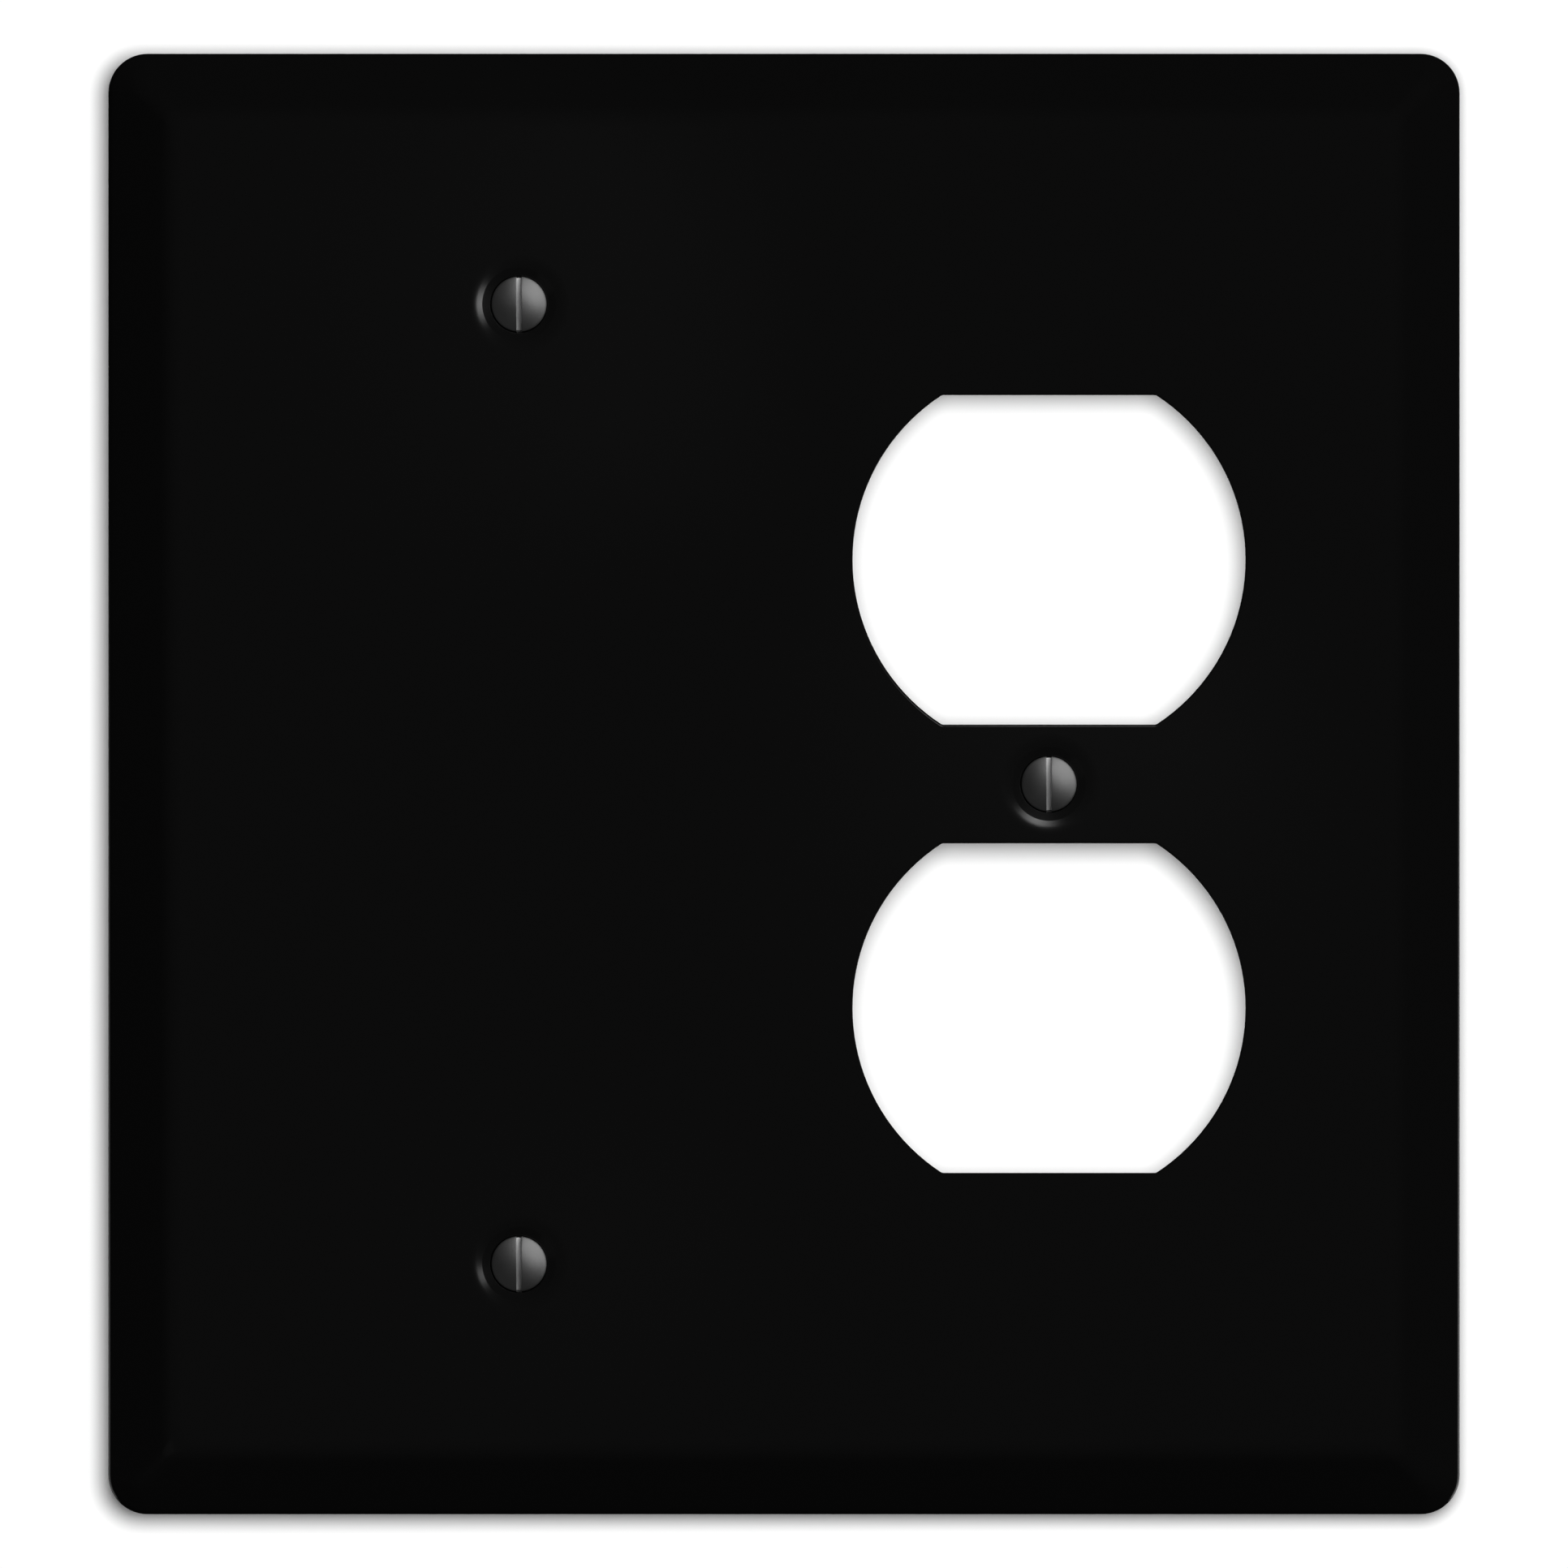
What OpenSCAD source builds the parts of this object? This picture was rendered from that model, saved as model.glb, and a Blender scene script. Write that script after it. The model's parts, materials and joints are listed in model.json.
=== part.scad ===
// Combination wall plate of pressed steel: a blank side beside a duplex receptacle side, with its
// three mounting screws. Millimetres.
// The row frame has +X to the right and +Z up as seen from the room, and the room is towards -Y.
// Its origin is the middle of the wall plane, on which the plate's rim lies.
// Each piece is drawn lying on its back, with +Y up the plate and +Z out of the wall, and on_wall()
// then stands it up.

/* [Plate] */
// Width of the plate
plate_w = 117.5; // [115:0.5:125]
// Height of the plate
plate_h = 127; // [120:0.5:140]
// Distance from the wall to the face
plate_depth = 5.8; // [5:0.1:7]
// Thickness of the sheet steel
sheet_t = 0.9; // [0.7:0.05:1]
// Height of the upright lip that lies on the wall
lip_h = 0.5; // [0.3:0.1:0.8]
// Angle of the sloping border to the wall
border_angle = 41; // [40:1:50]
// Outside bend radius between the lip and the border
lip_bend_r = 1.2; // [1.1:0.1:1.5]
// Outside bend radius between the border and the face
face_bend_r = 3; // [2:0.1:3.2]
// Corner radius of the plate's outline
corner_r = 3.4; // [3:0.1:5]
// Centre distance between the two device positions
gang_pitch = 46; // [45:0.1:47]

/* [Receptacle openings] */
// Diameter of the rounded sides of an opening
opening_d = 34.1; // [33.5:0.1:35]
// Height between the flat top and bottom of an opening
opening_h = 28.6; // [28:0.1:29]
// Centre distance between the two openings
opening_pitch = 38.9; // [38.5:0.1:39.3]

/* [Screw holes] */
// Centre distance between the two box screws
box_screw_pitch = 83.3; // [83:0.1:84]
// Diameter of the clearance hole
hole_d = 3.9; // [3.7:0.05:4.1]
// Diameter of the pressed dimple round a hole
dimple_d = 8.2; // [7.8:0.1:9.4]
// Depth of the dimple at the head's seat
dimple_depth = 0.6; // [0.5:0.05:0.9]
// Diameter of the head's seat
seat_d = 4.9; // [4.7:0.05:5.2]
// Length of the straight wall below the seat
hole_wall = 0.6; // [0.4:0.1:0.9]

/* [Screws] */
// Diameter of the head
head_d = 4.8; // [4.4:0.1:4.8]
// Height of the domed crown above the head's edge
crown_h = 0.65; // [0.5:0.05:0.9]
// Thickness of the head's edge
head_edge_t = 0.15; // [0.1:0.05:0.25]
// Included angle of the countersunk head
countersink_angle = 82; // [80:1:90]
// Width of the driver slot
slot_w = 0.45; // [0.4:0.05:1]
// Depth of the driver slot below the crown's top
slot_depth = 0.75; // [0.5:0.05:1]
// Diameter of the plain neck between the head and the thread
neck_d = 3; // [2.8:0.05:3.1]
// Distance from the head's edge to the first thread
neck_l = 1.3; // [1.2:0.05:1.6]
// Major diameter of the thread
thread_d = 3.5; // [3.3:0.05:3.6]
// Length from the head's edge to the tip
screw_l = 12.7; // [9.5:0.1:19]
// Height of the tip's chamfer
tip_chamfer = 0.45; // [0.3:0.05:0.6]

/* [Hidden] */
round_fn = 96;               // facets of a preview circle
bend_steps = 6;              // flats across half a right-angle bend
cut_margin = 1;              // reach of a cut past the surface that it leaves through
seat_gap = 0.05;             // paint between a seated head and its seat
dimple_land = 0.4;           // flat ring that a dimple keeps of the face
boss_wall = 0.5;             // sheet left round the seat at the back

// Width of the border from the plate's edge to the flat of the face
slope_h = plate_depth - face_bend_r * (1 - cos(border_angle)) - lip_h - lip_bend_r * cos(border_angle);
border_run = lip_bend_r * (1 - sin(border_angle)) + slope_h / tan(border_angle)
    + face_bend_r * sin(border_angle);

// The countersunk seat, and how a head lies on it
seat_cone_h = (seat_d - hole_d) / 2 / tan(countersink_angle / 2);
head_cone_h = (head_d - neck_d) / 2 / tan(countersink_angle / 2);
head_sink = dimple_depth + (seat_d - head_d) / 2 / tan(countersink_angle / 2) - seat_gap;
crown_r = (pow(head_d / 2, 2) + pow(crown_h, 2)) / (2 * crown_h);
dimple_slope = atan(dimple_depth / ((dimple_d - seat_d) / 2));

blank_x = -gang_pitch / 2;
receptacle_x = gang_pitch / 2;
box_screw_y = box_screw_pitch / 2;

// Stands a piece that lies on its back up against the wall.
module on_wall() rotate([90, 0, 0]) children();

// Rectangle with round corners, centred.
module round_rectangle(w, h, r) {
    square([w - 2 * r, h], center = true);
    square([w, h - 2 * r], center = true);
    for (x = [-1, 1], y = [-1, 1])
        translate([x * (w / 2 - r), y * (h / 2 - r)]) circle(r, $fn = round_fn);
}

// Half the section of one skin of the pan, from its foot on the wall up to the face.
// half is half the plate's width or height. skin is how far this skin lies below the outside:
// 0, or the sheet's thickness for the inside.
function half_section(half, skin, foot) = concat(
    [[half - skin, foot]],
    [for (i = [0:bend_steps])
        let (turn = (90 - border_angle) * i / bend_steps, r = lip_bend_r - skin)
        [half - lip_bend_r + r * cos(turn), lip_h + r * sin(turn)]],
    [for (i = [0:bend_steps])
        let (turn = border_angle * (1 - i / bend_steps), r = face_bend_r - skin)
        [half - border_run + r * sin(turn), plate_depth - face_bend_r + r * cos(turn)]]
);

// Whole section of one skin, with the half mirrored to the other side.
module section(half, skin, foot) {
    right = half_section(half, skin, foot);
    left = [for (i = [len(right) - 1:-1:0]) [-right[i][0], right[i][1]]];
    polygon(concat(right, left));
}

// Everything inside one skin of the pan: the sections across and up the plate, mitred at the corners.
module pan_solid(skin, foot)
    intersection() {
        rotate([90, 0, 0])
            linear_extrude(plate_h + 2 * cut_margin, center = true) section(plate_w / 2, skin, foot);
        rotate([90, 0, 90])
            linear_extrude(plate_w + 2 * cut_margin, center = true) section(plate_h / 2, skin, foot);
        translate([0, 0, foot])
            linear_extrude(plate_depth + cut_margin)
                round_rectangle(plate_w - 2 * skin, plate_h - 2 * skin, corner_r - skin);
    }

// Truncated circle that a receptacle's face comes through.
module receptacle_opening()
    linear_extrude(plate_depth + cut_margin)
        intersection() {
            circle(d = opening_d, $fn = round_fn);
            square([opening_d, opening_h], center = true);
        }

// Stands the pieces below it at the face, over a screw hole.
module at_screw(x, y) translate([x, y, plate_depth]) children();

// Part of the face that a dimple takes the place of.
module dimple_blank()
    translate([0, 0, -sheet_t - cut_margin])
        cylinder(d = dimple_d + 2 * dimple_land, h = sheet_t + 2 * cut_margin, $fn = round_fn);

// Pressed dimple with its countersunk seat and clearance hole. The face is at height 0.
module dimple() {
    land_r = dimple_d / 2 + dimple_land;
    boss_r = seat_d / 2 + boss_wall;
    back_r = dimple_d / 2 + sheet_t * tan(dimple_slope / 2);
    boss_h = sheet_t + (back_r - boss_r) * tan(dimple_slope);
    hole_top = dimple_depth + seat_cone_h;
    rotate_extrude($fn = round_fn)
        polygon([
            [hole_d / 2, -hole_top],
            [seat_d / 2, -dimple_depth],
            [dimple_d / 2, 0],
            [land_r, 0],
            [land_r, -sheet_t],
            [back_r, -sheet_t],
            [boss_r, -boss_h],
            [seat_d / 2, -hole_top - hole_wall],
            [hole_d / 2, -hole_top - hole_wall]
        ]);
}

// Places a piece at each of the three screw holes, on the face.
module at_screw_holes() {
    for (side = [-1, 1]) at_screw(blank_x, side * box_screw_y) children();
    at_screw(receptacle_x, 0) children();
}

// The pressed steel plate.
module plate()
    color([0.05, 0.05, 0.05])
    on_wall()
    difference() {
        union() {
            difference() {
                pan_solid(0, 0);
                pan_solid(sheet_t, -cut_margin);
                at_screw_holes() dimple_blank();
            }
            at_screw_holes() dimple();
        }
        for (side = [-1, 1])
            translate([receptacle_x, side * opening_pitch / 2]) receptacle_opening();
    }

// Slotted oval-head screw. The lower side of the head's edge is at height 0 and the tip is below it.
module screw() {
    head_r = head_d / 2;
    neck_r = neck_d / 2;
    thread_r = thread_d / 2;
    crown_top = head_edge_t + crown_h;
    tip = head_edge_t - screw_l;
    difference() {
        union() {
            rotate_extrude($fn = round_fn)
                polygon([
                    [0, tip],
                    [thread_r - tip_chamfer, tip],
                    [thread_r, tip + tip_chamfer],
                    [thread_r, -neck_l],
                    [neck_r, -neck_l],
                    [neck_r, -head_cone_h],
                    [head_r, 0],
                    [head_r, head_edge_t],
                    [0, head_edge_t]
                ]);
            intersection() {
                translate([0, 0, crown_top - crown_r]) sphere(crown_r, $fn = round_fn);
                translate([0, 0, head_edge_t]) cylinder(r = head_r, h = crown_h, $fn = round_fn);
            }
        }
        translate([-slot_w / 2, -head_d, crown_top - slot_depth])
            cube([slot_w, 2 * head_d, crown_top]);
    }
}

// A screw that lies on the seat of the hole at x, y.
module seated_screw(x, y)
    color([0.13, 0.13, 0.14])
    on_wall() at_screw(x, y) translate([0, 0, -head_sink]) screw();

plate();
seated_screw(blank_x, box_screw_y);  // box_screw_upper
seated_screw(blank_x, -box_screw_y);  // box_screw_lower
seated_screw(receptacle_x, 0);  // receptacle_screw
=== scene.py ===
"""A pressed steel wall plate, blank beside duplex, with its three slotted screws, in a plain studio.

Everything is in metres, in the row frame: +X to the right and +Z up as seen from the room, which lies
towards -Y. The wall plane, on which the plate's rim lies, is Y = 0. Angles in fields are in degrees.
"""

import json
import logging
import math
from collections.abc import Sequence
from dataclasses import dataclass, field
from enum import Enum, IntEnum

import bmesh
import bpy
from mathutils import Matrix, Vector


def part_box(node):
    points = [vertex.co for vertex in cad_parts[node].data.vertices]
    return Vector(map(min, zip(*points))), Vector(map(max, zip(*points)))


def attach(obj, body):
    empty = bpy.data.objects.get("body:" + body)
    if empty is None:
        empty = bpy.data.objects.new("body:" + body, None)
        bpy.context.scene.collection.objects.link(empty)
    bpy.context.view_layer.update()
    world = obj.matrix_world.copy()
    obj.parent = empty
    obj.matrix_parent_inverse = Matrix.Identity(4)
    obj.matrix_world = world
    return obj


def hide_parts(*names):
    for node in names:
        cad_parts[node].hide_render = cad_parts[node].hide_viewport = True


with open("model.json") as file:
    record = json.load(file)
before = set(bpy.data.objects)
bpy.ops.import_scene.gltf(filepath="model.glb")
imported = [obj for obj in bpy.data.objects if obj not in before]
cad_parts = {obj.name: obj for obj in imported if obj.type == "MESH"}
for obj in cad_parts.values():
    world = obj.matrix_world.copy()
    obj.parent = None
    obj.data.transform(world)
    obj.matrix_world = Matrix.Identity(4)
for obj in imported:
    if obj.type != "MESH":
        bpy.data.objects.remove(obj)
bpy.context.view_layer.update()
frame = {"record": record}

log = logging.getLogger("wall_plate")

MM = 0.001
# The part of a noise pattern's range that most of it lies in
MIDDLE_BAND = (0.3, 0.7)
# The spread of a lamp that has no grid
NO_GRID = 180.0
# A place in a section, such as a radius and a height, or in the plane of the plate
Pair = tuple[float, float]
Point = tuple[float, float, float]
Loop = list[bmesh.types.BMVert]


class Side(Enum):
    """The two skins of the sheet steel."""

    FRONT = "front"
    BACK = "back"


# Mesh work ---------------------------------------------------------------------------------------


class SkinMesh:
    """A mesh made of closed rings of points that are joined by quads."""

    def __init__(self) -> None:
        """Starts with no points."""
        self.bm = bmesh.new()
        self.flat: list[tuple[Loop, Vector]] = []

    def ring(self, points: Sequence[Point]) -> Loop:
        """Adds one ring of loose points and gives its vertices, in the same order."""
        return [self.bm.verts.new(point) for point in points]

    def join(self, rings: Sequence[Loop]) -> None:
        """Skins each ring to the next with quads.

        Args:
            rings: Rings with the same number of vertices, in order.
        """
        for low, high in zip(rings, rings[1:]):
            for i in range(len(low)):
                j = (i + 1) % len(low)
                self.bm.faces.new((low[i], low[j], high[j], high[i]))

    def cap(self, loop: Loop) -> None:
        """Closes a ring with one flat face."""
        self.bm.faces.new(loop)

    def panel(self, loops: Sequence[Loop], facing: Vector) -> None:
        """Fills the flat area between an outer ring and the rings of its holes.

        Args:
            loops: Rings that lie in one plane, the outermost first.
            facing: The plane's direction, which its edges keep in the shading.
        """
        self.flat += [(loop, facing) for loop in loops]
        edges = []
        for loop in loops:
            for i, vert in enumerate(loop):
                pair = (vert, loop[(i + 1) % len(loop)])
                edges.append(self.bm.edges.get(pair) or self.bm.edges.new(pair))
        bmesh.ops.triangle_fill(self.bm, edges=edges, use_beauty=True, use_dissolve=False)

    def finish(self, name: str) -> bpy.types.Object:
        """Turns the rings into a smooth-shaded object with its normals outward.

        Args:
            name: The new object's name.

        Returns:
            The object, linked to the scene.
        """
        bmesh.ops.recalc_face_normals(self.bm, faces=self.bm.faces)
        for face in self.bm.faces:
            face.smooth = True
        self.bm.verts.index_update()
        facings = {vert.index: facing for loop, facing in self.flat for vert in loop}
        mesh = bpy.data.meshes.new(name)
        self.bm.to_mesh(mesh)
        self.bm.free()
        if facings:
            normals = [facings.get(vert.index, vert.normal) for vert in mesh.vertices]
            mesh.normals_split_custom_set_from_vertices(normals)
        piece = bpy.data.objects.new(name, mesh)
        bpy.context.scene.collection.objects.link(piece)
        return piece


def arc(start: float, end: float, steps: int) -> list[float]:
    """Gives evenly spaced angles in degrees, both ends included, as radians."""
    return [math.radians(start + (end - start) * i / steps) for i in range(steps + 1)]


def ease(t: float) -> float:
    """Gives a smooth step from 0 to 1."""
    t = min(max(t, 0.0), 1.0)
    return t * t * (3 - 2 * t)


# Finishes ----------------------------------------------------------------------------------------


class Recipe:
    """A material's node tree, with short ways to add and join its nodes."""

    def __init__(self, name: str) -> None:
        """Makes a material that holds one principled shader and its output.

        Args:
            name: The material's name.
        """
        self.material = bpy.data.materials.new(name)
        self.material.use_nodes = True
        self.tree = self.material.node_tree
        self.shader = self.tree.nodes["Principled BSDF"]
        self.place = self.add("ShaderNodeTexCoord").outputs["Object"]

    def add(self, kind: str, **settings: object) -> bpy.types.Node:
        """Adds a node.

        Args:
            kind: The node's type.
            settings: Its properties.

        Returns:
            The new node.
        """
        node = self.tree.nodes.new(kind)
        for key, value in settings.items():
            setattr(node, key, value)
        return node

    def link(self, source: bpy.types.NodeSocket, target: bpy.types.NodeSocket) -> None:
        """Joins an output to an input."""
        self.tree.links.new(source, target)

    def noise(self, size: float, detail: float = 2.0, seed: float = 0.0) -> bpy.types.NodeSocket:
        """Adds a noise pattern fixed to the piece.

        Args:
            size: The size of the pattern's grain, in metres.
            detail: How many finer octaves it has.
            seed: A shift that makes one pattern differ from another.

        Returns:
            The pattern's value, about 0.5 on average.
        """
        shift = self.add("ShaderNodeVectorMath", operation="ADD")
        shift.inputs[1].default_value = (seed, seed, seed)
        self.link(self.place, shift.inputs[0])
        pattern = self.add("ShaderNodeTexNoise")
        pattern.inputs["Scale"].default_value = 1 / size
        pattern.inputs["Detail"].default_value = detail
        self.link(shift.outputs[0], pattern.inputs["Vector"])
        return pattern.outputs["Fac"]

    def spread(self, value: bpy.types.NodeSocket, low: float, high: float) -> bpy.types.NodeSocket:
        """Maps a pattern's middle band to a range.

        Args:
            value: The pattern.
            low: The result where the pattern is dark.
            high: The result where it is light.

        Returns:
            The mapped value.
        """
        mapped = self.add("ShaderNodeMapRange")
        mapped.inputs["From Min"].default_value = MIDDLE_BAND[0]
        mapped.inputs["From Max"].default_value = MIDDLE_BAND[1]
        mapped.inputs["To Min"].default_value = low
        mapped.inputs["To Max"].default_value = high
        self.link(value, mapped.inputs["Value"])
        return mapped.outputs["Result"]

    def blend(
        self, factor: bpy.types.NodeSocket, low: Sequence[float], high: Sequence[float]
    ) -> bpy.types.NodeSocket:
        """Mixes two colours by a factor.

        Args:
            factor: 0 for the first colour and 1 for the second.
            low: The first colour, red, green and blue.
            high: The second colour.

        Returns:
            The mixed colour.
        """
        mix = self.add("ShaderNodeMix", data_type="RGBA")
        mix.inputs["A"].default_value = (*low, 1)
        mix.inputs["B"].default_value = (*high, 1)
        self.link(factor, mix.inputs["Factor"])
        return mix.outputs["Result"]

    def bump(self, layers: Sequence[tuple[bpy.types.NodeSocket, float]]) -> None:
        """Stacks relief patterns on the shader's normal.

        Args:
            layers: Pairs of a pattern and the height of its relief, in metres.
        """
        normal = None
        for pattern, height in layers:
            node = self.add("ShaderNodeBump")
            node.inputs["Strength"].default_value = 1
            node.inputs["Distance"].default_value = height
            self.link(pattern, node.inputs["Height"])
            if normal is not None:
                self.link(normal, node.inputs["Normal"])
            normal = node.outputs["Normal"]
        self.link(normal, self.shader.inputs["Normal"])


@dataclass(frozen=True)
class BakedEnamel:
    """Black enamel baked on sheet steel: semi-gloss, with a faint orange peel."""

    name: str = "black_baked_enamel"
    dark: Sequence[float] = (0.0034, 0.0034, 0.0034)
    light: Sequence[float] = (0.0042, 0.0042, 0.0042)
    gloss: tuple[float, float] = (0.19, 0.22)
    peel_size: float = 1.5 * MM
    peel_height: float = 0.0015 * MM
    flow_size: float = 16 * MM
    flow_height: float = 0.008 * MM
    cloud_size: float = 25.6 * MM
    ior: float = 1.5

    def material(self) -> bpy.types.Material:
        """Builds the enamel's material.

        Returns:
            The material.
        """
        recipe = Recipe(self.name)
        peel = recipe.noise(self.peel_size, detail=2, seed=0.1)
        flow = recipe.noise(self.flow_size, detail=1, seed=0.7)
        cloud = recipe.noise(self.cloud_size, detail=3, seed=0.4)
        recipe.link(
            recipe.blend(recipe.spread(cloud, 0, 1), self.dark, self.light),
            recipe.shader.inputs["Base Color"],
        )
        recipe.link(recipe.spread(cloud, *self.gloss), recipe.shader.inputs["Roughness"])
        recipe.shader.inputs["IOR"].default_value = self.ior
        recipe.bump([(flow, self.flow_height), (peel, self.peel_height)])
        return recipe.material


@dataclass(frozen=True)
class HeadPaint:
    """Satin charcoal paint on a screw's head, over faint turning marks."""

    name: str = "satin_head_paint"
    dark: Sequence[float] = (0.0058, 0.0058, 0.0058)
    light: Sequence[float] = (0.0074, 0.0074, 0.0074)
    gloss: tuple[float, float] = (0.42, 0.46)
    grain_size: float = 0.35 * MM
    grain_height: float = 0.004 * MM
    cloud_size: float = 2.1 * MM

    def material(self) -> bpy.types.Material:
        """Builds the paint's material.

        Returns:
            The material.
        """
        recipe = Recipe(self.name)
        grain = recipe.noise(self.grain_size, detail=3, seed=0.2)
        cloud = recipe.noise(self.cloud_size, detail=2, seed=0.9)
        recipe.link(
            recipe.blend(recipe.spread(cloud, 0, 1), self.dark, self.light),
            recipe.shader.inputs["Base Color"],
        )
        recipe.link(recipe.spread(cloud, *self.gloss), recipe.shader.inputs["Roughness"])
        recipe.bump([(grain, self.grain_height)])
        return recipe.material


@dataclass(frozen=True)
class WornSteel:
    """Steel in the driver slot, where the paint has been scraped off, scored along the slot."""

    name: str = "worn_slot_steel"
    dark: Sequence[float] = (0.15, 0.15, 0.15)
    light: Sequence[float] = (0.19, 0.19, 0.19)
    gloss: tuple[float, float] = (0.56, 0.62)
    grain_size: float = 0.12 * MM
    grain_height: float = 0.0015 * MM

    def material(self) -> bpy.types.Material:
        """Builds the steel's material.

        Returns:
            The material.
        """
        recipe = Recipe(self.name)
        grain = recipe.noise(self.grain_size, detail=3, seed=0.5)
        recipe.link(
            recipe.blend(recipe.spread(grain, 0, 1), self.dark, self.light),
            recipe.shader.inputs["Base Color"],
        )
        recipe.link(recipe.spread(grain, *self.gloss), recipe.shader.inputs["Roughness"])
        recipe.shader.inputs["Metallic"].default_value = 1
        recipe.bump([(grain, self.grain_height)])
        return recipe.material


@dataclass(frozen=True)
class ZincPlating:
    """Zinc plating, cloudy and finely grained."""

    name: str = "zinc_plating"
    dark: Sequence[float] = (0.34, 0.34, 0.35)
    light: Sequence[float] = (0.56, 0.56, 0.57)
    gloss: tuple[float, float] = (0.26, 0.42)
    grain_size: float = 0.5 * MM
    grain_height: float = 0.003 * MM
    cloud_size: float = 2.0 * MM

    def material(self) -> bpy.types.Material:
        """Builds the plating's material.

        Returns:
            The material.
        """
        recipe = Recipe(self.name)
        grain = recipe.noise(self.grain_size, detail=4, seed=0.3)
        cloud = recipe.noise(self.cloud_size, detail=3, seed=0.6)
        recipe.link(
            recipe.blend(recipe.spread(cloud, 0, 1), self.dark, self.light),
            recipe.shader.inputs["Base Color"],
        )
        recipe.link(recipe.spread(grain, *self.gloss), recipe.shader.inputs["Roughness"])
        recipe.shader.inputs["Metallic"].default_value = 1
        recipe.bump([(grain, self.grain_height)])
        return recipe.material


# The plate ---------------------------------------------------------------------------------------


@dataclass(frozen=True)
class SectionPoint:
    """One ring of the pan's border.

    inset is measured in from the plate's outline, height is measured out from the wall, and corner is
    the radius of the ring's corners.
    """

    inset: float
    height: float
    corner: float


@dataclass
class Opening:
    """A punched opening: a circle cut off flat at its top and bottom.

    burnish and tear are parts of the sheet's thickness, and tear_growth and burr are in break-outs.
    """

    centre: Pair
    radius: float = 17.05 * MM
    half_height: float = 14.3 * MM
    fillet: float = 0.5 * MM
    roll: float = 0.22 * MM
    breakout: float = 0.05 * MM
    burnish: float = 0.55
    tear: float = 0.12
    tear_growth: float = 0.6
    burr: Sequence[Pair] = ((1.0, 1.0), (1.3, 0.3), (2.0, 0.0))
    side_steps: int = 40
    fillet_steps: int = 4
    roll_steps: int = 4

    def outline(self, growth: float, height: float) -> list[Point]:
        """Gives the opening's outline, grown evenly.

        Args:
            growth: How far the outline is grown outward.
            height: The outline's height above the wall.

        Returns:
            The outline's points in the row frame.
        """
        radius = self.radius + growth
        half = self.half_height + growth
        fillet = self.fillet + growth
        middle = math.sqrt((radius - fillet) ** 2 - (half - fillet) ** 2)
        lean = math.degrees(math.atan2(half - fillet, middle))
        quarter = [(radius * math.cos(a), radius * math.sin(a)) for a in arc(0, lean, self.side_steps // 2)]
        quarter += [
            (middle + fillet * math.cos(a), half - fillet + fillet * math.sin(a))
            for a in arc(lean, 90, self.fillet_steps)[1:]
        ]
        upper = quarter + [(-x, z) for x, z in reversed(quarter)]
        whole = upper + [(x, -z) for x, z in reversed(upper[1:-1])]
        return [(self.centre[0] + x, -height, self.centre[1] + z) for x, z in whole]

    def walls(self, face: float, thickness: float) -> list[Pair]:
        """Lists the rings from the face to the back, each as a growth and a height.

        Args:
            face: The height of the face.
            thickness: The thickness of the sheet.

        Returns:
            The rings: a rolled front edge, the sheared wall and the break-out at the back.
        """
        back = face - thickness
        rolled = [
            (self.roll * (1 - math.sin(a)), face - self.roll * (1 - math.cos(a)))
            for a in arc(0, 90, self.roll_steps)
        ]
        wall = [
            (0.0, face - thickness * self.burnish),
            (self.breakout * self.tear_growth, face - thickness * (self.burnish + self.tear)),
        ]
        broken = [(self.breakout * growth, back + self.breakout * rise) for growth, rise in self.burr]
        return rolled + wall + broken


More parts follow.
